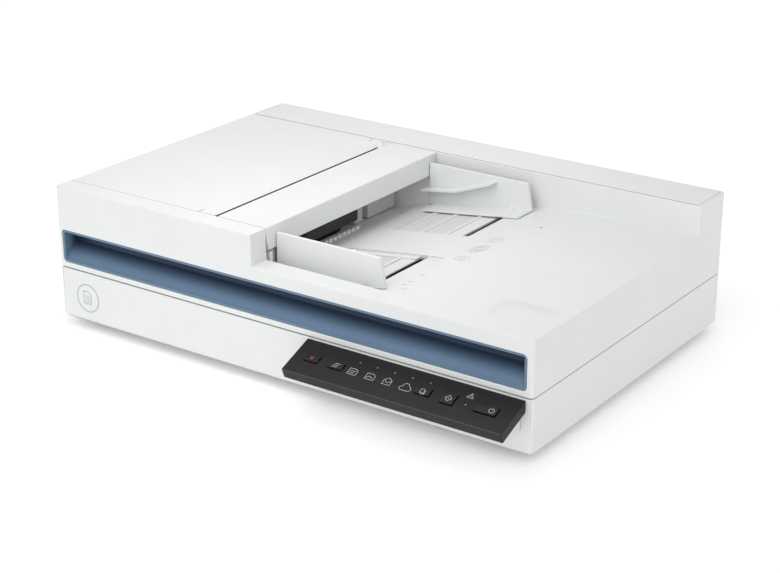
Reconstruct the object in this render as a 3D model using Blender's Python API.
"""Flatbed document scanner with an automatic sheet feeder in its lid.

The model stands on Z = 0 with its front towards -Y. The origin is under the centre of its footprint.
Dimensions are written in millimetres and turned into metres as each mesh is made.
"""

import math

import bmesh
import bpy
from mathutils import Matrix, Vector

MM = 0.001
GAP = 0.3  # running and resting clearance between neighbours

# ---------------------------------------------------------------- driving dimensions
LEFT, RIGHT = -225.5, 225.5
FRONT, REAR = -142.8, 153.8
FOOT_TOP = 5.0
CASE_BOTTOM, CASE_TOP = 9.0, 51.0
LID_BOTTOM, TRAY_TOP, TOP = 52.0, 95.2, 120.7
WALL = 2.5
CORNER = 3.0

PAPER_Y = -6.0  # centre line of the sheet path
SHEET_HALF = 109.8  # half the width of the scanned area

# base
DECK_UNDER = 47.0
BED_X = (-96.0, 206.0)
SLIT_X = (-172.0, -148.0)
LEDGE = 3.0
SLIT_CENTRE = -160.0
ROD_Y, ROD_Z, ROD_R = 30.0, 20.0, 4.0
BELT_Y, BELT_R, BELT_Z = 52.0, 7.0, (18.0, 23.0)
MOTOR_X, IDLER_X = 200.0, -206.0

# lid hinges
HINGE_Y, HINGE_Z = 165.0, 56.0
HINGE_X = (-150.0, 150.0)
BARREL_R, PIN_R = 6.5, 2.0

# control panel
PANEL_X = (30.8, 220.5)
PANEL_TOP_Z = 50.2
PANEL_TILT = 21.9
PANEL_LENGTH, PANEL_THICK = 35.4, 8.6
PANEL_SKIN = 2.0
PANEL_REACH = FRONT - PANEL_LENGTH * math.cos(math.radians(PANEL_TILT))  # the foremost edge
HINGE_BACK = -PANEL_REACH  # the hinge brackets reach as far back as the panel does forward
BUTTONS = {  # name: centre along X, width, depth down the slope
    "cancel_button": (47.6, 12.0, 6.8),
    "select_button": (69.8, 12.2, 6.9),
    "two_sided_button": (146.4, 11.8, 6.9),
    "start_button": (167.8, 10.0, 10.2),
    "power_button": (199.0, 17.2, 7.9),
}
BUTTON_S = 18.2  # distance of every button's centre down the slope
LIGHT_X, LIGHT_STEP, LIGHT_COUNT, LIGHT_S = 85.2, 15.4, 5, 9.0
WARNING_X = 182.1

# finger recess across the lid's front
RECESS_X, RECESS_Z = (-221.0, 220.0), (56.7, 84.0)
RECESS_DEPTH, RECESS_SKIN = 15.0, 1.2

# feeder
STEP_X = -22.3  # right face of the bridge and of the tall front block
DOOR_Y = (-124.5, 109.2)  # inner faces of the pocket that the feeder cover closes
DOOR_GAP = 0.5
DOOR_PIVOT = (-221.5, 60.0)
DOOR_BARREL_R = 4.0
BRIDGE_LEFT, BRIDGE_BOTTOM = -69.5, 101.7
SLOT_X = (-73.0, -69.5)
LIP_LEFT = -80.0

# tray
KNEE_X, TRAY_SLOPE = 118.0, 0.13
TRAY_SKIN = 2.5
PLATEAU_Y, PLATEAU_END, PLATEAU_RISE = (-34.8, 20.5), 80.0, 0.9
RIB_X, RIB_WIDTH = (-0.5, 20.5, 43.7), 3.0
RACK_SLOT_X = (58.7, 66.2)

# paper guides, drawn for the rear one and mirrored about PAPER_Y for the front one
GUIDE_INNER = 103.5  # distance of a guide's inner face from PAPER_Y
GUIDE_THICK, GUIDE_TOP = 3.0, 114.0
PINION_X, PINION_R, RACK_Z = 62.4, 8.0, (77.0, 80.5)

# feeder drive: one large gear in the middle turns every shaft
DRIVE_TEETH, FEED_TEETH, TRANSPORT_TEETH, EXIT_TEETH, MOTOR_TEETH = 36, 28, 20, 14, 10
GEAR_Y = (113.0, 118.0)
FEED_X, FEED_Z = -88.0, 82.0
FEED_R, PICK_R, SEPARATION_R, TRANSPORT_R, EXIT_R = 12.0, 10.0, 6.5, 7.0, 6.0
PICK_X, PICK_Z = -62.0, 77.8
SEPARATION_Z = 63.1
TURN_X, TURN_Z, TURN_R = -186.0, 84.0, 28.0
COMB_COUNT, COMB_PITCH, COMB_WIDTH = 11, 6.3, 4.4  # ribs on the guide under the pick roller


# ---------------------------------------------------------------- drawing tools
def clear_scene():
    for item in list(bpy.data.objects):
        bpy.data.objects.remove(item)


def material(name, colour, roughness=0.45, metallic=0.0):
    """A Principled BSDF in one colour, made once for each name."""
    found = bpy.data.materials.get(name)
    if found:
        return found
    made = bpy.data.materials.new(name)
    made.use_nodes = True
    shader = made.node_tree.nodes["Principled BSDF"]
    shader.inputs["Base Color"].default_value = (*colour, 1.0)
    shader.inputs["Roughness"].default_value = roughness
    shader.inputs["Metallic"].default_value = metallic
    return made


WHITE = ("white_plastic", (0.86, 0.87, 0.87))
GREY = ("grey_plastic", (0.5, 0.51, 0.52))
PAN = ("pan_plastic", (0.45, 0.46, 0.47))
BLACK = ("black_plastic", (0.03, 0.03, 0.03))
BLUE = ("blue_plastic", (0.13, 0.22, 0.36))
RUBBER = ("rubber", (0.04, 0.04, 0.04), 0.8)
STEEL = ("steel", (0.6, 0.6, 0.62), 0.3, 1.0)
GLASS = ("glass", (0.75, 0.85, 0.85), 0.05)
BOARD = ("circuit_board", (0.03, 0.2, 0.1))
LIGHT = ("light_pipe", (0.85, 0.9, 0.95), 0.2)


def circle(centre, radius, steps=24, start=0.0, turn=360.0):
    """Points round a circle, or along an arc when turn is under 360 degrees."""
    count = steps if turn == 360.0 else steps + 1
    angles = [math.radians(start + turn * i / steps) for i in range(count)]
    return [(centre[0] + radius * math.cos(a), centre[1] + radius * math.sin(a)) for a in angles]


def rounded(x, y, radius, steps=4):
    """The outline of a rectangle with round corners, counter-clockwise."""
    corners = ((x[1], y[0], -90), (x[1], y[1], 0), (x[0], y[1], 90), (x[0], y[0], 180))
    points = []
    for u, v, start in corners:
        inner = (u - math.copysign(radius, u - sum(x) / 2), v - math.copysign(radius, v - sum(y) / 2))
        points += circle(inner, radius, steps, start, 90.0)
    return points


def place(axis, u, v, w):
    """A point in metres from two outline coordinates and its distance along the extrusion axis."""
    return Vector({"X": (w, u, v), "Y": (u, w, v), "Z": (u, v, w)}[axis]) * MM


def mesh_object(name, points, faces, look):
    grid = bmesh.new()
    corners = [grid.verts.new(point) for point in points]
    for face in faces:
        grid.faces.new([corners[i] for i in face])
    bmesh.ops.recalc_face_normals(grid, faces=grid.faces)
    data = bpy.data.meshes.new(name)
    grid.to_mesh(data)
    grid.free()
    data.materials.append(material(*look))
    made = bpy.data.objects.new(name, data)
    bpy.context.scene.collection.objects.link(made)
    return made


def prism(name, outline, span, axis, look=WHITE, end_outline=None):
    """An outline extruded along an axis; end_outline makes a taper between two like outlines."""
    end_outline = end_outline or outline
    count = len(outline)
    points = [place(axis, u, v, span[0]) for u, v in outline]
    points += [place(axis, u, v, span[1]) for u, v in end_outline]
    faces = [(i, (i + 1) % count, (i + 1) % count + count, i + count) for i in range(count)]
    faces += [tuple(range(count)), tuple(range(count, 2 * count))]
    return mesh_object(name, points, faces, look)


def box(name, x, y, z, look=WHITE):
    return prism(name, [(x[0], y[0]), (x[1], y[0]), (x[1], y[1]), (x[0], y[1])], z, "Z", look)


def rod(name, centre, radius, span, axis, look=STEEL, steps=24):
    made = prism(name, circle(centre, radius, steps), span, axis, look)
    made.data.shade_smooth()
    made.data.set_sharp_from_angle(angle=math.radians(35))
    return made


def shape(target, operation, *tools):
    """Adds to a solid, cuts it, or keeps what it shares with each tool; the tools stay as hidden guides."""
    for tool in tools:
        change = target.modifiers.new(operation.lower(), "BOOLEAN")
        change.operation = operation
        change.solver = "EXACT"
        change.object = tool
        tool.hide_render = True
        tool.display_type = "WIRE"
    return target


def join(target, *tools):
    return shape(target, "UNION", *tools)


def cut(target, *tools):
    return shape(target, "DIFFERENCE", *tools)


def axis_empty(name, point):
    """An empty on a joint's axis, which the pieces that move on it are parented to."""
    made = bpy.data.objects.new(name, None)
    made.location = Vector(point) * MM
    bpy.context.scene.collection.objects.link(made)
    return made


def hang(empty, *pieces):
    """Parents pieces drawn in world coordinates to a joint's empty without moving them."""
    for piece in pieces:
        piece.parent = empty
        piece.matrix_parent_inverse = Matrix.Translation(-empty.location)


# ---------------------------------------------------------------- base
def base_pan():
    """The lower pan: a tapered rim, a lip inside the case, and the clips and post that hold the drive."""
    low = rounded((LEFT + 6, RIGHT - 6), (FRONT + 6, REAR - 6), CORNER)
    high = rounded((LEFT + 0.8, RIGHT - 0.8), (FRONT + 0.8, REAR - 0.8), CORNER)
    pan = prism("base_pan", low, (FOOT_TOP, CASE_BOTTOM - GAP), "Z", PAN, high)
    lip_x, lip_y = (LEFT + 3.1, RIGHT - 3.1), (FRONT + 3.1, REAR - 3.1)
    join(pan, prism("pan_lip", rounded(lip_x, lip_y, 2.0), (7.0, 13.0), "Z"))
    hollow_x, hollow_y = (LEFT + 9.0, RIGHT - 9.0), (FRONT + 9.0, REAR - 9.0)
    cut(pan, box("pan_floor_cut", hollow_x, hollow_y, (8.0, 9.2)))
    cut(pan, box("pan_lip_cut", (LEFT + 5.1, RIGHT - 5.1), (FRONT + 5.1, REAR - 5.1), (9.0, 20.0)))
    for side, x in (("left", (-218.0, -208.0)), ("right", (212.0, 219.0))):
        clip = box("rod_clip_" + side, x, (ROD_Y - 8, ROD_Y + 8), (7.5, 27.0))
        bore = rod("rod_bore_" + side, (ROD_Y, ROD_Z), ROD_R + GAP, (x[0] - 1, x[1] + 1), "X")
        cut(clip, bore)
        join(pan, clip)
    join(pan, rod("idler_post", (IDLER_X, BELT_Y), 2.5, (7.5, 25.0), "Z"))
    return pan


def case_outline(inset):
    return rounded((LEFT + inset, RIGHT - inset), (FRONT + inset, REAR - inset), CORNER - inset * 0.6)


def base_case():
    """The outer case of the base with the deck that frames both panes of glass."""
    case = prism("base_case", case_outline(0), (CASE_BOTTOM, CASE_TOP), "Z")
    cut(case, prism("case_hollow", case_outline(WALL), (CASE_BOTTOM - 1, DECK_UNDER), "Z"))
    for name, x in (("bed", BED_X), ("slit", SLIT_X)):
        y = (PAPER_Y - SHEET_HALF, PAPER_Y + SHEET_HALF)
        cut(case, box(name + "_window", x, y, (DECK_UNDER - 1, CASE_TOP + 1)))
        ledge_x, ledge_y = (x[0] - LEDGE, x[1] + LEDGE), (y[0] - LEDGE, y[1] + LEDGE)
        cut(case, box(name + "_rebate", ledge_x, ledge_y, (48.7, CASE_TOP + 1)))
    cut(case, box("strip_pocket", (-132.0, -112.0), (PAPER_Y - 112, PAPER_Y + 112), (46.0, 48.6)))
    cut(case, box("usb_port_cut", (-66.6, -53.4), (REAR - 4, REAR + 1), (13.6, 25.4)))
    cut(case, rod("power_port_cut", (-30.0, 19.5), 5.2, (REAR - 4, REAR + 1), "Y"))
    return case


def glass():
    y = (PAPER_Y - SHEET_HALF - LEDGE + GAP, PAPER_Y + SHEET_HALF + LEDGE - GAP)
    for name, x in (("document_glass", BED_X), ("feed_glass", SLIT_X)):
        box(name, (x[0] - LEDGE + GAP, x[1] + LEDGE - GAP), y, (49.0, 50.9), GLASS)
    strip_y = (PAPER_Y - 111, PAPER_Y + 111)
    box("white_reference_strip", (-131.0, -113.0), strip_y, (47.2, 48.3), WHITE)


def feet():
    for side, x in (("left", LEFT + 32), ("right", RIGHT - 32)):
        for end, y in (("front", FRONT + 28), ("rear", REAR - 28)):
            span = (0.0, FOOT_TOP - GAP)
            prism(f"foot_{end}_{side}", circle((x, y), 8.0), span, "Z", RUBBER, circle((x, y), 9.0))


def scan_drive():
    rod("guide_rod", (ROD_Y, ROD_Z), ROD_R, (-217.5, 218.5), "X", STEEL)
    motor = rod("carriage_motor", (MOTOR_X, BELT_Y), 13.0, (8.4, 16.5), "Z", STEEL)
    join(motor, rod("carriage_motor_shaft", (MOTOR_X, BELT_Y), 1.5, (16.0, 25.0), "Z"))
    for name, x, bore in (("motor_pulley", MOTOR_X, 1.8), ("idler_pulley", IDLER_X, 2.8)):
        pulley = rod(name, (x, BELT_Y), BELT_R - GAP, BELT_Z, "Z", GREY)
        join(pulley, rod(name + "_rim", (x, BELT_Y), BELT_R + 1.5, (16.9, 17.7), "Z", steps=24))
        join(pulley, rod(name + "_neck", (x, BELT_Y), BELT_R - 2, (17.0, 19.0), "Z"))
        cut(pulley, rod(name + "_bore", (x, BELT_Y), bore, (15.0, 24.0), "Z", steps=16))
        hang(axis_empty(name + "_axis", (x, BELT_Y, 20.0)), pulley)
    belt = prism("drive_belt", belt_outline(BELT_R + 1.2), BELT_Z, "Z", RUBBER)
    cut(belt, prism("belt_inside", belt_outline(BELT_R), (BELT_Z[0] - 1, BELT_Z[1] + 1), "Z"))


def belt_outline(radius):
    right = circle((MOTOR_X, BELT_Y), radius, 12, -90.0, 180.0)
    return right + circle((IDLER_X, BELT_Y), radius, 12, 90.0, 180.0)


def carriage():
    """The scan bar and the frame that carries it along the rod under the glass."""
    x, y = (SLIT_CENTRE - 10.5, SLIT_CENTRE + 10.5), (PAPER_Y - 117, PAPER_Y + 117)
    frame = box("scan_carriage", x, y, (27.0, 42.0), BLACK)
    inner_x = (SLIT_CENTRE - 8.3, SLIT_CENTRE + 8.3)
    cut(frame, box("carriage_trough", inner_x, (y[0] + 2, y[1] - 2), (29.0, 43.0)))
    bush = box("carriage_bush", (SLIT_CENTRE - 14, SLIT_CENTRE + 14), (ROD_Y - 8, ROD_Y + 8), (13.0, 28.0))
    join(frame, bush)
    join(frame, box("belt_clamp", x, (ROD_Y + 7, BELT_Y - BELT_R - 1.2 - GAP), (18.0, 28.0)))
    bore = rod("carriage_bore", (ROD_Y, ROD_Z), ROD_R + 0.4, (SLIT_CENTRE - 15, SLIT_CENTRE + 15), "X")
    cut(frame, bore)
    bar = box("scan_bar", (inner_x[0] + GAP, inner_x[1] - GAP), (y[0] + 3, y[1] - 3), (29.3, 46.0), BLACK)
    lens_y = (PAPER_Y - 110, PAPER_Y + 110)
    cut(bar, box("lens_groove", (SLIT_CENTRE - 2.3, SLIT_CENTRE + 2.3), lens_y, (43.5, 47.0)))
    lens_x = (SLIT_CENTRE - 2, SLIT_CENTRE + 2)
    lens = box("lens_strip", lens_x, (lens_y[0] + GAP, lens_y[1] - GAP), (43.8, 45.8), GLASS)
    hang(axis_empty("carriage_axis", (SLIT_CENTRE, ROD_Y, ROD_Z)), frame, bar, lens)


def electronics():
    board = box("control_board", (-95.0, 5.0), (72.0, 146.0), (12.0, 13.4), BOARD)
    for x, y in ((-89, 78), (-1, 78), (-89, 140), (-1, 140)):
        join(board, rod("board_stand", (x, y), 2.5, (8.3, 12.5), "Z", steps=12))
    usb = box("usb_socket", (-66.0, -54.0), (REAR - 17, REAR - 0.4), (14.0, 25.0), STEEL)
    cut(usb, box("usb_mouth", (-64.5, -55.5), (REAR - 10, REAR + 1), (15.5, 23.5)))
    power = rod("power_socket", (-30.0, 19.5), 4.8, (REAR - 14, REAR - 0.4), "Y", BLACK)
    join(power, box("power_socket_body", (-35.0, -25.0), (REAR - 14, REAR - 4.5), (13.8, 24.8), BLACK))
    cut(power, rod("power_mouth", (-30.0, 19.5), 3.4, (REAR - 10, REAR + 1), "Y"))


# ---------------------------------------------------------------- lid hinges
def hinges():
    for side, x in zip(("left", "right"), HINGE_X):
        outer, inner = (x - 18, x + 18), (x - 12, x + 12)
        outline = rounded(outer, (REAR + GAP, HINGE_BACK), 2.0)
        bracket = prism("hinge_bracket_" + side, outline, (12, 63), "Z")
        cut(bracket, box("hinge_gap_" + side, inner, (REAR - 1, HINGE_BACK + 1), (48.0, 64.0)))
        bore_span = (outer[0] - 1, outer[1] + 1)
        cut(bracket, rod("bracket_bore_" + side, (HINGE_Y, HINGE_Z), PIN_R + GAP, bore_span, "X"))
        rod("hinge_pin_" + side, (HINGE_Y, HINGE_Z), PIN_R, outer, "X", STEEL)
        hinge_arm(side, (inner[0] + 0.5, inner[1] - 0.5))


def hinge_arm(side, x):
    """The lid's half of a hinge: a barrel round the pin and a strap that runs forward inside the lid."""
    arm = rod("hinge_arm_" + side, (HINGE_Y, HINGE_Z), BARREL_R, x, "X", GREY)
    join(arm, box("arm_strap_" + side, x, (125.0, HINGE_Y), (56.8, 61.5)))
    cut(arm, rod("arm_bore_" + side, (HINGE_Y, HINGE_Z), PIN_R + GAP, (x[0] - 1, x[1] + 1), "X"))
    hang(lid_axis(), arm)


def lid_axis():
    return bpy.data.objects.get("lid_axis") or axis_empty("lid_axis", (0.0, HINGE_Y, HINGE_Z))


# ---------------------------------------------------------------- control panel
def panel_axes():
    """An empty whose X is along the panel, Y up its slope and Z out of its face."""
    found = bpy.data.objects.get("panel_axes")
    if not found:
        found = axis_empty("panel_axes", (0.0, FRONT, PANEL_TOP_Z))
        found.rotation_euler.x = math.radians(PANEL_TILT)
        bpy.context.view_layer.update()
    return found


def on_panel(*pieces):
    """Pieces drawn in the panel's own axes take their place on the slope."""
    for piece in pieces:
        piece.parent = panel_axes()
    return pieces[0]


def panel_point(s, depth):
    """World Y and Z of a point s down the slope from the back edge and depth below the face."""
    tilt = math.radians(PANEL_TILT)
    y = FRONT - s * math.cos(tilt) + depth * math.sin(tilt)
    return y, PANEL_TOP_Z - s * math.sin(tilt) - depth * math.cos(tilt)


def slope_box(name, x, s, depth, look=BLACK):
    """A box in the panel's axes, from s and depth ranges."""
    return on_panel(box(name, x, (-s[1], -s[0]), (-depth[1], -depth[0]), look))


def control_panel():
    back = FRONT - GAP
    top_z = panel_point(GAP, 0.0)[1]
    under_y, under_z = panel_point(0.0, PANEL_THICK)
    low_z = under_z + (back - under_y) * math.tan(math.radians(PANEL_TILT))
    front_edge = [panel_point(PANEL_LENGTH, 0.0), panel_point(PANEL_LENGTH, PANEL_THICK)]
    outline = [(back, top_z), *front_edge, (back, low_z)]
    panel = prism("control_panel", outline, PANEL_X, "X", BLACK)
    cavity_x = (PANEL_X[0] + 2.2, PANEL_X[1] - 2.2)
    cut(panel, slope_box("panel_cavity", cavity_x, (4.5, PANEL_LENGTH - 2.2), (PANEL_SKIN, 14.0)))
    for name, (x, width, depth) in BUTTONS.items():
        hole_x = (x - width / 2 - GAP, x + width / 2 + GAP)
        hole_s = (BUTTON_S - depth / 2 - GAP, BUTTON_S + depth / 2 + GAP)
        cut(panel, slope_box(name + "_hole", hole_x, hole_s, (-1.0, PANEL_SKIN + 1)))
    for i in range(LIGHT_COUNT):
        x = LIGHT_X + i * LIGHT_STEP
        cut(panel, on_panel(rod("light_hole", (x, -LIGHT_S), 1.0, (-3.0, 1.0), "Z", steps=10)))
    cut(panel, on_panel(rod("warning_hole", (WARNING_X, -BUTTON_S - 0.5), 1.0, (-3.0, 1.0), "Z", steps=10)))
    return panel


def panel_parts():
    bar_x = (LIGHT_X - 3, LIGHT_X + (LIGHT_COUNT - 1) * LIGHT_STEP + 3)
    light_pipe = slope_box("light_pipe", bar_x, (LIGHT_S - 1.5, LIGHT_S + 1.5), (2.3, 4.3), LIGHT)
    for i in range(LIGHT_COUNT):
        x = LIGHT_X + i * LIGHT_STEP
        join(light_pipe, on_panel(rod("light_pin", (x, -LIGHT_S), 0.7, (-3.0, -0.1), "Z", steps=10)))
    centre = (WARNING_X, -BUTTON_S - 0.5)
    lens = on_panel(rod("warning_light", centre, 0.7, (-4.8, -0.1), "Z", LIGHT, steps=10))
    join(lens, on_panel(rod("warning_light_foot", centre, 1.4, (-5.2, -3.0), "Z", steps=10)))
    slope_box("panel_board", (40.0, 214.0), (6.0, PANEL_LENGTH - 3.2), (6.4, 7.8), BOARD)
    bracket = [
        (FRONT - GAP, 25.8),
        (-171.0, 28.3),
        (-171.0, 29.0),
        (FRONT - GAP, 40.0),
    ]
    prism("panel_bracket", bracket, (34.0, 216.5), "X", WHITE)


def buttons():
    """Caps that stand out of the panel, each with a flange under the skin and a stem to its switch."""
    for name, (x, width, depth) in BUTTONS.items():
        across, down = (x - width / 2, x + width / 2), (-BUTTON_S - depth / 2, -BUTTON_S + depth / 2)
        outline = rounded(across, down, 0.8, 3)
        cap = on_panel(prism(name, outline, (-3.0, 0.9), "Z", BLACK))
        flange_x, flange_s = (across[0] - 1, across[1] + 1), (-down[1] - 1, -down[0] + 1)
        join(cap, slope_box(name + "_flange", flange_x, flange_s, (2.4, 3.4)))
        join(cap, on_panel(rod(name + "_stem", (x, -BUTTON_S), 1.5, (-5.3, -3.0), "Z", steps=12)))


# ---------------------------------------------------------------- lid
def tray_z(x):
    """Height of the tray at x: level on the right, sloping down to the feeder left of the knee."""
    knee, radius = KNEE_X, 14.0
    if x >= knee + radius:
        return TRAY_TOP
    if x <= knee - radius:
        return TRAY_TOP + TRAY_SLOPE * (x - knee)
    return TRAY_TOP - TRAY_SLOPE * (knee + radius - x) ** 2 / (4 * radius)


def tray_line(left, right, drop=0.0, steps=6):
    """Points along the tray's surface from left to right, drop below it."""
    xs = [left] + [KNEE_X - 14 + 28 * i / steps for i in range(steps + 1)] + [right]
    xs = [x for x in xs if left <= x <= right]
    return [(x, tray_z(x) - drop) for x in sorted(set(xs))]


def lid_cover():
    """The lid's outer shell: recess window, tall front block, tray, rear bar walls and sides."""
    cover = prism("lid_cover", case_outline(0), (LID_BOTTOM, TOP), "Z")
    above = tray_line(STEP_X, RIGHT + 5) + [(RIGHT + 5, TOP + 5), (STEP_X, TOP + 5)]
    cut(cover, prism("tray_void", above, DOOR_Y, "Y"))
    cut(cover, box("rim_void", (STEP_X, RIGHT + 5), (FRONT - 5, DOOR_Y[0] + 0.01), (TRAY_TOP, TOP + 5)))
    below_bridge = (LEFT - 5, STEP_X + 0.01)
    cut(cover, box("door_void", below_bridge, DOOR_Y, (DOOR_PIVOT[1] - DOOR_BARREL_R - 0.6, TOP + 5)))
    # hollows, from below
    inner_x, inner_y = (LEFT + WALL, RIGHT - WALL), (FRONT + WALL, REAR - WALL)
    cut(cover, box("lid_hollow", inner_x, inner_y, (LID_BOTTOM - 1, 74.0)))
    under = [(STEP_X + 2.5, 70.0)] + tray_line(STEP_X + 2.5, inner_x[1], TRAY_SKIN) + [(inner_x[1], 70.0)]
    cut(cover, prism("tray_hollow", under, (inner_y[0], DOOR_Y[1] - 0.5), "Y"))
    block_y = (inner_y[0], DOOR_Y[0] - 1.7)
    cut(cover, box("rim_hollow", (STEP_X - 3, inner_x[1]), block_y, (70.0, TRAY_TOP - TRAY_SKIN)))
    cut(cover, box("block_hollow", (inner_x[0], STEP_X - WALL), block_y, (60.0, TOP - WALL)))
    bar_y = (DOOR_Y[1] + 1.5, inner_y[1])
    cut(cover, box("bar_hollow", (LEFT + 3, RIGHT - 3), bar_y, (60.0, TOP + 5)))
    rebate_y = (inner_y[1] - 1, REAR + 5)
    cut(cover, box("bar_rear_cut", (LEFT + 3, RIGHT - 3), rebate_y, (TOP - WALL - GAP, TOP + 5)))
    tray_details(cover)
    # front recess window, hinge notches and drive shaft holes
    window = rounded((RECESS_X[0] - GAP, RECESS_X[1] + GAP), (RECESS_Z[0] - GAP, RECESS_Z[1] + GAP), 3.3)
    window_solid = prism("recess_window", [(u, v) for u, v in window], (FRONT - 1, FRONT + WALL + 0.5), "Y")
    cut(cover, window_solid)
    chamfer = [(REAR - 2.0, LID_BOTTOM - 0.1), (REAR + 0.1, LID_BOTTOM - 0.1), (REAR + 0.1, LID_BOTTOM + 4.0)]
    cut(cover, prism("rear_chamfer", chamfer, (LEFT - 1, RIGHT + 1), "X"))
    for x in HINGE_X:
        notch_y, notch_z = (inner_y[1] - 1, REAR + 1), (LID_BOTTOM - 1, 64.5)
        cut(cover, box("hinge_notch", (x - 18.6, x + 18.6), notch_y, notch_z))
    for name, (x, z) in shaft_centres().items():
        cut(cover, rod(name + "_wall_hole", (x, z), 3.6, (DOOR_Y[1] - 2, DOOR_Y[1] + 3), "Y", steps=16))
    for y in ((DOOR_Y[0] - 5, DOOR_Y[0] + 1), (DOOR_Y[1] - 1, DOOR_Y[1] + 2)):
        cut(cover, rod("door_pin_hole", DOOR_PIVOT, 2.3, y, "Y", steps=16))
    hang(lid_axis(), cover)
    return cover


def tray_details(cover):
    """The raised centre panel, ribbed side channels, the guides' slots and the shallow dish."""
    flush = 0.02  # the raised panel runs out into the tray at its right end
    rises = ((STEP_X, PLATEAU_RISE), (RACK_SLOT_X[1], PLATEAU_RISE), (PLATEAU_END, flush))
    raised = [(x, tray_z(x) + rise) for x, rise in (*rises, (PLATEAU_END, -1.0), (STEP_X, -1.0))]
    for side in (-1, 1):
        edge = PLATEAU_Y[0] - 5.9 if side < 0 else PLATEAU_Y[1]
        far = PAPER_Y + side * (GUIDE_INNER + 2)
        y = tuple(sorted((edge, far)))
        previous = -12.0
        for x in (*RIB_X, RACK_SLOT_X[1] + RIB_WIDTH / 2):
            span = (previous, x - RIB_WIDTH / 2)
            floor = tray_line(*span, 1.0) + tray_line(*span, -1.0)[::-1]
            cut(cover, prism("channel", floor, y, "Y"))
            previous = x + RIB_WIDTH / 2
        slot_y = tuple(sorted((PAPER_Y + side * 28.5, PAPER_Y + side * (GUIDE_INNER + 7.5))))
        cut(cover, box("rack_slot", RACK_SLOT_X, slot_y, (70.0, 100.0)))
    join(cover, prism("tray_plateau", raised, PLATEAU_Y, "Y"))
    panel_left, panel_right = 82.0, 113.0
    low_left, low_right = tray_z(panel_left) - 0.05, tray_z(panel_right) - 0.4
    marks = [(panel_left, low_left), (panel_right, low_right), (panel_right, 98.0), (panel_left, 98.0)]
    cut(cover, prism("tray_marks_panel", marks, (-71.5, 60.8), "Y"))
    dish_x, dish_y = (168.0, 214.0), (-120.5, -85.5)
    join(cover, box("dish_backing", (162.0, RIGHT - 1), (FRONT + 1, -79.0), (90.2, 94.0)))
    top = rounded(dish_x, dish_y, 6.0)
    bottom = rounded((dish_x[0] + 5, dish_x[1] - 5), (dish_y[0] + 5, dish_y[1] - 5), 4.0)
    cut(cover, prism("tray_dish", bottom, (TRAY_TOP - 2.2, TRAY_TOP + 0.01), "Z", WHITE, top))


def recess_liner():
    """The blue liner: a rim in the window and a cove behind it whose floor slopes up to its back wall."""
    liner = prism("recess_liner", rounded(RECESS_X, RECESS_Z, 3.0), (FRONT + 0.2, FRONT + 2.2), "Y", BLUE)
    rim, skin = 2.0, RECESS_SKIN
    back = FRONT + RECESS_DEPTH
    low, high, deep_low, deep_high = RECESS_Z[0] + rim, RECESS_Z[1] - rim, 70.9, 80.5
    inside = [(FRONT - 1, low - 0.6), (back, deep_low), (back, deep_high), (FRONT - 1, high + 0.6)]
    outside = [(FRONT + 1, low - skin), (back + skin, deep_low - skin)]
    outside += [(back + skin, deep_high + skin), (FRONT + 1, high + skin)]
    join(liner, prism("cove_outside", outside, (RECESS_X[0] + rim - skin, RECESS_X[1] - rim + skin), "X"))
    cut(liner, prism("cove_inside", inside, (RECESS_X[0] + rim, RECESS_X[1] - rim), "X"))
    hang(lid_axis(), liner)


def lid_panels():
    """The rear bar's top, the plate that closes the lid below, and the white sheet over the glass."""
    bar_x, bar_y = (LEFT + 3 + GAP, RIGHT - 3 - GAP), (DOOR_Y[1] + 1.5 + GAP, REAR)
    bar = box("rear_bar_cover", bar_x, bar_y, (TOP - WALL, TOP))
    plate = box("lid_plate", (LEFT + 2.9, RIGHT - 2.9), (FRONT + 2.9, REAR - 2.9), (54.3, 56.3), GREY)
    cut(plate, box("sheet_window", (-206.0, -78.0), (PAPER_Y - 113, PAPER_Y + 113), (53.0, 57.0)))
    cut(plate, box("gear_window", (-148.0, -120.0), (PAPER_Y + 112, GEAR_Y[1] + 2), (53.0, 57.0)))
    cut(plate, box("door_edge_cut", (LEFT, -216.0), (DOOR_Y[0] - 0.5, DOOR_Y[1] + 0.5), (53.0, 57.0)))
    for x in HINGE_X:
        cut(plate, box("arm_clearance", (x - 12.3, x + 12.3), (120.0, REAR), (53.0, 58.0)))
    sheet = box("backing_sheet", (-76.0, 203.0), (PAPER_Y - 107, PAPER_Y + 107), (51.3, 54.0))
    hang(lid_axis(), bar, plate, sheet)


# ---------------------------------------------------------------- feeder
def from_drive(distance, degrees):
    x, z = drive_centre()
    angle = math.radians(degrees)
    return x + distance * math.cos(angle), z + distance * math.sin(angle)


def drive_centre():
    distance = (DRIVE_TEETH + FEED_TEETH) / 2
    rise = 6.0
    return FEED_X - math.sqrt(distance**2 - rise**2), FEED_Z + rise


def shaft_centres():
    """Centres of the shafts through the rear wall, each at its mesh distance from the drive gear."""
    drive = DRIVE_TEETH / 2
    return {
        "feed": (FEED_X, FEED_Z),
        "transport": from_drive(drive + TRANSPORT_TEETH / 2, 239.0),
        "exit": from_drive(drive + EXIT_TEETH / 2, 50.0),
        "drive": drive_centre(),
    }


def gear_outline(centre, teeth, tooth_angle):
    """A gear of module 1 mm with straight-flanked teeth, one of them centred on tooth_angle degrees."""
    points = []
    pitch = 360.0 / teeth
    for i in range(teeth):
        middle = tooth_angle + i * pitch
        for radius, offset in ((-1.15, -0.32), (0.85, -0.13), (0.85, 0.13), (-1.15, 0.32)):
            angle = math.radians(middle + offset * pitch)
            reach = teeth / 2 + radius
            points.append((centre[0] + reach * math.cos(angle), centre[1] + reach * math.sin(angle)))
    return points


def meshing_angle(direction, teeth):
    """The tooth angle that puts a gear in mesh with the drive gear, which has a tooth at 0 degrees."""
    ahead = (-direction) % (360.0 / DRIVE_TEETH)
    return direction + 180.0 - ahead * DRIVE_TEETH / teeth - 180.0 / teeth


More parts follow.
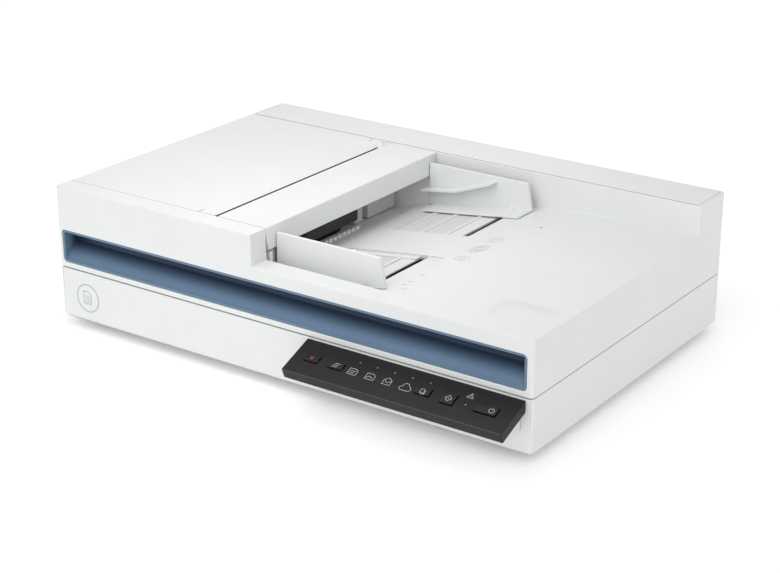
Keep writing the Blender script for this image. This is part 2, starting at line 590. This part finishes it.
def gear(name, centre, teeth, tooth_angle, look=GREY, bore=0.0):
    made = prism(name, gear_outline(centre, teeth, tooth_angle), GEAR_Y, "Y", look)
    if bore:
        cut(made, rod(name + "_bore", centre, bore, (GEAR_Y[0] - 1, GEAR_Y[1] + 1), "Y", steps=16))
    return made


def angle_from_drive(centre):
    x, z = drive_centre()
    return math.degrees(math.atan2(centre[1] - z, centre[0] - x))


def roller(name, centre, radius, tyres, shaft_y, shaft_r=3.0, teeth=0):
    """A shaft along Y with rubber-width drums on it and, if it is driven, its gear at the rear end."""
    made = rod(name, centre, shaft_r, shaft_y, "Y", BLACK, steps=16)
    for i, span in enumerate(tyres):
        join(made, rod(f"{name}_drum_{i}", centre, radius, span, "Y"))
    if teeth:
        tooth_angle = meshing_angle(angle_from_drive(centre), teeth)
        join(made, gear(name + "_gear", centre, teeth, tooth_angle))
    empty = axis_empty(name + "_axis", (centre[0], 0.0, centre[1]))
    hang(empty, made)
    return made


def feeder_rollers():
    centres = shaft_centres()
    shaft_y = (-121.0, GEAR_Y[1])
    middle = ((PAPER_Y - 18, PAPER_Y + 18),)
    pairs = ((PAPER_Y - 70, PAPER_Y - 45), (PAPER_Y + 45, PAPER_Y + 70))
    roller("feed_roller", centres["feed"], FEED_R, middle, (PAPER_Y - 36, GEAR_Y[1]), 3.0, FEED_TEETH)
    roller("pick_roller", (PICK_X, PICK_Z), PICK_R, middle, (PAPER_Y - 37, PAPER_Y + 31.5), 2.5)
    separation_y = (PAPER_Y - 30, PAPER_Y + 30)
    roller("separation_roller", (FEED_X, SEPARATION_Z), SEPARATION_R, middle, separation_y, 2.5)
    roller("transport_roller", centres["transport"], TRANSPORT_R, pairs, shaft_y, 3.0, TRANSPORT_TEETH)
    roller("exit_roller", centres["exit"], EXIT_R, pairs, shaft_y, 3.0, EXIT_TEETH)
    drive = gear("drive_gear", centres["drive"], DRIVE_TEETH, 0.0, GREY, 3.3)
    hang(axis_empty("drive_gear_axis", (centres["drive"][0], 115.0, centres["drive"][1])), drive)
    motor_centre = from_drive((DRIVE_TEETH + MOTOR_TEETH) / 2, 150.0)
    pinion = gear("motor_pinion", motor_centre, MOTOR_TEETH, meshing_angle(150.0, MOTOR_TEETH), GREY, 1.8)
    hang(axis_empty("motor_pinion_axis", (motor_centre[0], 115.0, motor_centre[1])), pinion)
    motor = rod("feeder_motor", motor_centre, 15.0, (122.0, 148.0), "Y", STEEL)
    join(motor, rod("feeder_motor_shaft", motor_centre, 1.5, (GEAR_Y[0], 123.0), "Y", steps=12))
    hang(lid_axis(), motor)


def pick_arm():
    """The black holder that swings on the feed shaft and carries the pick roller to the sheets."""
    y = (PAPER_Y - 38, PAPER_Y + 32.5)
    side = [(-104, 78), (-104, 94), (-92, 99), (-58, 96), (-46, 87), (-46, 78.5), (-51, 78.5), (-54, 77)]
    side += [(-72, 77), (-76, 76)]
    arm = prism("pick_arm", side, y, "Y", BLACK)
    hollow = [(-106, 60), (-101.5, 93), (-91.5, 96.5), (-59, 93.5), (-49, 86.0), (-49.5, 60)]
    cut(arm, prism("arm_hollow", hollow, (y[0] + 3, y[1] - 3), "Y"))
    cut(arm, rod("arm_feed_bore", (FEED_X, FEED_Z), 3.4, (y[0] - 1, y[1] + 1), "Y", steps=16))
    cut(arm, box("arm_feed_notch", (FEED_X - 2.4, FEED_X + 2.4), (y[0] - 1, y[0] + 3.5), (70.0, FEED_Z)))
    for end in (y[0] - 1, y[1] - 4):
        cut(arm, rod("arm_pick_bore", (PICK_X, PICK_Z), 2.9, (end, end + 5), "Y", steps=16))
    hang(axis_empty("pick_arm_axis", (FEED_X, 0.0, FEED_Z)), arm)


def feeder_chassis():
    """The feeder's frame: the lower paper guide between two side plates."""
    y = (PAPER_Y - 110, PAPER_Y + 108)
    top = [(-23.0, 76.4), (-55.0, 68.0), (-95.0, 62.5), (-128.0, 55.6), (-146.0, 53.4)]
    under = [(-146.0, 51.9), (-128.0, 53.6), (-96.0, 59.6), (-56.0, 65.2), (-23.0, 73.6)]
    chassis = prism("feeder_chassis", top + under, y, "Y", WHITE)
    plate = [(-23.0, 66.0), (-23.0, 99.5), (-78.0, 99.5), (-92.0, 110.0), (-112.0, 115.0), (-176.0, 115.0)]
    plate += [(-205.0, 102.0), (-212.5, 84.0), (-205.0, 64.0), (-198.0, 56.8), (-146.0, 56.8), (-100.0, 57.2)]
    plates_y = (("front", (PAPER_Y - 113, PAPER_Y - 109.5)), ("rear", (PAPER_Y + 107.5, PAPER_Y + 110.5)))
    for name, span in plates_y:
        side = prism("side_plate_" + name, plate, span, "Y")
        join(chassis, side)
    for name, (x, z) in shaft_centres().items():
        cut(chassis, rod(name + "_bearing", (x, z), 3.4, (y[0] - 8, y[1] + 8), "Y", steps=16))
    cut(chassis, box("separation_gap", (-96.5, -79.5), (PAPER_Y - 32, PAPER_Y + 32), (50.0, 75.0)))
    low_x, low_z = shaft_centres()["transport"]
    for side in (-1, 1):
        y0 = tuple(sorted((PAPER_Y + side * 43, PAPER_Y + side * 72)))
        cut(chassis, box("transport_gap", (low_x - 8.5, low_x + 8.5), y0, (50.0, low_z)))
    for i in range(COMB_COUNT):
        middle = PAPER_Y + (i - (COMB_COUNT - 1) / 2) * COMB_PITCH
        comb = [(-45.0, 68.0), (-45.0, 73.6), (-51.0, 72.6), (-58.0, 66.0)]
        join(chassis, prism("comb_rib", comb, (middle - COMB_WIDTH / 2, middle + COMB_WIDTH / 2), "Y"))
    hang(lid_axis(), chassis)


def ring_outline(centre, radius, thickness, start, turn, steps=16):
    outer = circle(centre, radius + thickness, steps, start, turn)
    return outer + circle(centre, radius, steps, start, turn)[::-1]


def turn_guides():
    """The core that sheets wrap round, the fixed lower guide outside it, and the cover's own upper guide."""
    centre, inside = (TURN_X, TURN_Z), TURN_R
    core_y = (PAPER_Y - 109.2, PAPER_Y + 107.2)
    core = prism("turn_core", ring_outline(centre, inside - 2.0, 2.0, 85.0, 178.0), core_y, "Y", GREY)
    top_z = (TURN_Z + inside - 2.1, TURN_Z + inside - 0.1)
    join(core, box("turn_core_top", (TURN_X + 1, -122.0), core_y, top_z))
    outer, thick = inside + 3.0, 1.6
    lower = prism("turn_guide", ring_outline(centre, outer, thick, 185.0, 68.0, 12), core_y, "Y", GREY)
    upper = prism("cover_turn_guide", ring_outline(centre, outer, thick, 95.0, 78.0, 12), core_y, "Y", GREY)
    hang(lid_axis(), core, lower)
    hang(door_axis(), upper)
    bar_x, bar_y = (SLIT_CENTRE - 8, SLIT_CENTRE + 8), (PAPER_Y - 108.5, PAPER_Y + 106.5)
    back = box("back_scan_bar", bar_x, bar_y, (52.6, 68.0), BLACK)
    lens_y = (PAPER_Y - 106, PAPER_Y + 104)
    cut(back, box("back_lens_groove", (SLIT_CENTRE - 2, SLIT_CENTRE + 2), lens_y, (50.0, 54.0)))
    hang(lid_axis(), back)


def door_axis():
    found = bpy.data.objects.get("door_axis")
    return found or axis_empty("door_axis", (DOOR_PIVOT[0], 0.0, DOOR_PIVOT[1]))


def feeder_cover():
    """The hinged cover: left side wall, top with the exit slot, and the bridge over the feed throat."""
    y = (DOOR_Y[0] + DOOR_GAP, DOOR_Y[1] - DOOR_GAP)
    pivot_x, pivot_z = DOOR_PIVOT
    skin = 3.0
    right = STEP_X
    profile = [(LEFT, pivot_z), (LEFT, TOP), (right, TOP), (right, BRIDGE_BOTTOM)]
    profile += [(right - skin, BRIDGE_BOTTOM), (right - skin, TOP - skin)]
    profile += [(LEFT + skin, TOP - skin), (LEFT + skin, pivot_z)]
    cover = prism("feeder_cover", profile, y, "Y", WHITE)
    skirt = [(LEFT + 1, pivot_z), (LEFT + 1, TOP - 1), (right - 1, TOP - 1), (right - 1, BRIDGE_BOTTOM)]
    skirt += [(BRIDGE_LEFT, BRIDGE_BOTTOM), (BRIDGE_LEFT - 8, 112.0), (-205.0, 112.0), (LEFT + 5, pivot_z)]
    for name, span in (("front", (y[0] + 0.2, y[0] + 2.0)), ("rear", (y[1] - 2.0, y[1] - 0.2))):
        join(cover, prism("cover_skirt_" + name, skirt, span, "Y"))
    join(cover, rod("cover_barrel", DOOR_PIVOT, DOOR_BARREL_R - 0.1, (y[0] + 0.1, y[1] - 0.1), "Y"))
    for end, span in (("front", (y[0] - 2.6, y[0] + 4)), ("rear", (y[1] - 4, y[1] + 2.4))):
        join(cover, rod("cover_pin_" + end, DOOR_PIVOT, 2.0, span, "Y", steps=16))
    housing = [(-69.0, 68.2), (-57.7, 68.2)] + circle((-66.7, 77.5), 9.0, 6, 0.0, 84.0)
    housing += [(-67.0, TOP - 1.7), (-69.0, TOP - 1.7)]
    for side in (-1, 1):
        for near, far in ((45.0, 56.0), (63.5, 103.0)):
            span = tuple(sorted((PAPER_Y + side * near, PAPER_Y + side * far)))
            join(cover, prism("throat_housing", housing, span, "Y"))
    bridge_y = (y[0] + 0.3, y[0] + 5.0)
    join(cover, box("bridge_end", (BRIDGE_LEFT + 1, right - 1.5), bridge_y, (BRIDGE_BOTTOM + 0.1, TOP - 1)))
    below = BRIDGE_BOTTOM - 1
    taper = [(y[0] - 1, TOP - skin), (y[0] - 1, below), (y[0] + 3.0, below), (y[0], TOP - skin)]
    cut(cover, prism("bridge_end_taper", taper, (BRIDGE_LEFT - 9, right + 1), "X"))
    lip_end, slot_end = 94.5, 91.5
    cut(cover, box("exit_slot", SLOT_X, (y[0] - 1, slot_end), (TOP - skin - 2, TOP + 1)))
    lip_right, above = SLOT_X[0] + 0.01, TOP + 1
    bevel = [(LIP_LEFT, TOP + 0.01), (lip_right, TOP - 1.2), (lip_right, above), (LIP_LEFT, above)]
    cut(cover, prism("slot_lip", bevel, (y[0] + 2.5, lip_end), "Y"))
    recess = [(-79.3, y[1] - 1.0), (-66.8, y[1] - 1.0), (-67.6, slot_end + 2.6)]
    cut(cover, prism("slot_end_recess", recess, (TOP - 1.6, TOP + 1), "Z"))
    for span in ((y[0] - 1, y[0] + 6.5), (y[1] - 6.5, y[1] + 1)):
        cut(cover, box("cover_tick", (-89.3, -88.5), span, (TOP - 1.2, TOP + 1)))
    hang(door_axis(), cover)


# ---------------------------------------------------------------- paper guides
def guide_side(side, name):
    """One sliding paper guide; side is 1 for the rear one and -1 for the front one."""

    def span(near, far):
        return tuple(sorted((PAPER_Y + side * near, PAPER_Y + side * far)))

    face = GUIDE_INNER
    wall = tray_line(-21.5, 80.0, -GAP)
    wall = [(-21.5, GUIDE_TOP)] + wall + [(75.5, GUIDE_TOP)]
    guide = prism(name, wall, span(face, face + GUIDE_THICK), "Y", WHITE)
    foot_end = 80.0 if side > 0 else 64.0
    foot = tray_line(-15.0, foot_end, -GAP) + tray_line(-15.0, foot_end, -GAP - 1.4)[::-1]
    join(guide, prism(name + "_foot", foot, span(face - 22, face + 1), "Y"))
    fin_top = [(-25.5, 92.4), (8.0, 97.5), (44.0, 111.0), (45.8, 110.4)]
    fin = fin_top + [(45.5, 109.0), (10.5, 95.6), (-25.5, 90.4)]
    join(guide, prism(name + "_fin", fin, span(face - 9, face + 1), "Y"))
    cut(guide, box(name + "_fin_corner", (-26.5, -22.0), span(face - 3.5, face + 4), (88.0, 95.0)))
    post_x = (RACK_SLOT_X[0] + 0.5, RACK_SLOT_X[1] - 0.5)
    join(guide, box(name + "_post", post_x, span(face - 8, face + 2), (RACK_Z[0], 91.0)))
    pitch_x = PINION_X - side * PINION_R
    bar_far = pitch_x - side * 7.0
    arm_x = tuple(sorted((bar_far, post_x[1] if side > 0 else post_x[0])))
    join(guide, box(name + "_arm", arm_x, span(face - 8, face - 2), RACK_Z))
    join(guide, prism(name + "_rack", rack_outline(side, pitch_x, bar_far), RACK_Z, "Z"))
    hang(axis_empty(name + "_axis", (PINION_X, PAPER_Y + side * face, RACK_Z[0])), guide)


def rack_outline(side, pitch_x, bar_far):
    """A rack of module 1 mm on the side of the pinion, with a gap facing the pinion's tooth at rest."""
    pitch = math.pi
    teeth = 20
    points = []
    for i in range(teeth):
        middle = (i - 2.5) * pitch
        for depth, offset in ((-1.15, -0.32), (0.85, -0.13), (0.85, 0.13), (-1.15, 0.32)):
            points.append((pitch_x + side * depth, PAPER_Y + side * (middle + offset * pitch)))
    root = pitch_x - side * 1.15
    end = PAPER_Y + side * (GUIDE_INNER - 2)
    start = PAPER_Y + side * (-3.2 * pitch)
    return [(bar_far, start), (root, start)] + points + [(root, end), (bar_far, end)]


def guides():
    guide_side(1, "rear_paper_guide")
    guide_side(-1, "front_paper_guide")
    teeth = int(PINION_R * 2)
    outline = gear_outline((PINION_X, PAPER_Y), teeth, 0.0)
    pinion = prism("guide_pinion", outline, RACK_Z, "Z", GREY)
    bore_z = (RACK_Z[0] - 1, RACK_Z[1] + 1)
    cut(pinion, rod("guide_pinion_bore", (PINION_X, PAPER_Y), 2.3, bore_z, "Z", steps=16))
    hang(axis_empty("guide_pinion_axis", (PINION_X, PAPER_Y, RACK_Z[0])), pinion)


def main():
    clear_scene()
    base_pan()
    base_case()
    glass()
    feet()
    scan_drive()
    carriage()
    electronics()
    hinges()
    control_panel()
    panel_parts()
    buttons()
    lid_cover()
    recess_liner()
    lid_panels()
    feeder_rollers()
    pick_arm()
    feeder_chassis()
    turn_guides()
    feeder_cover()
    guides()
    bpy.context.view_layer.update()


main()
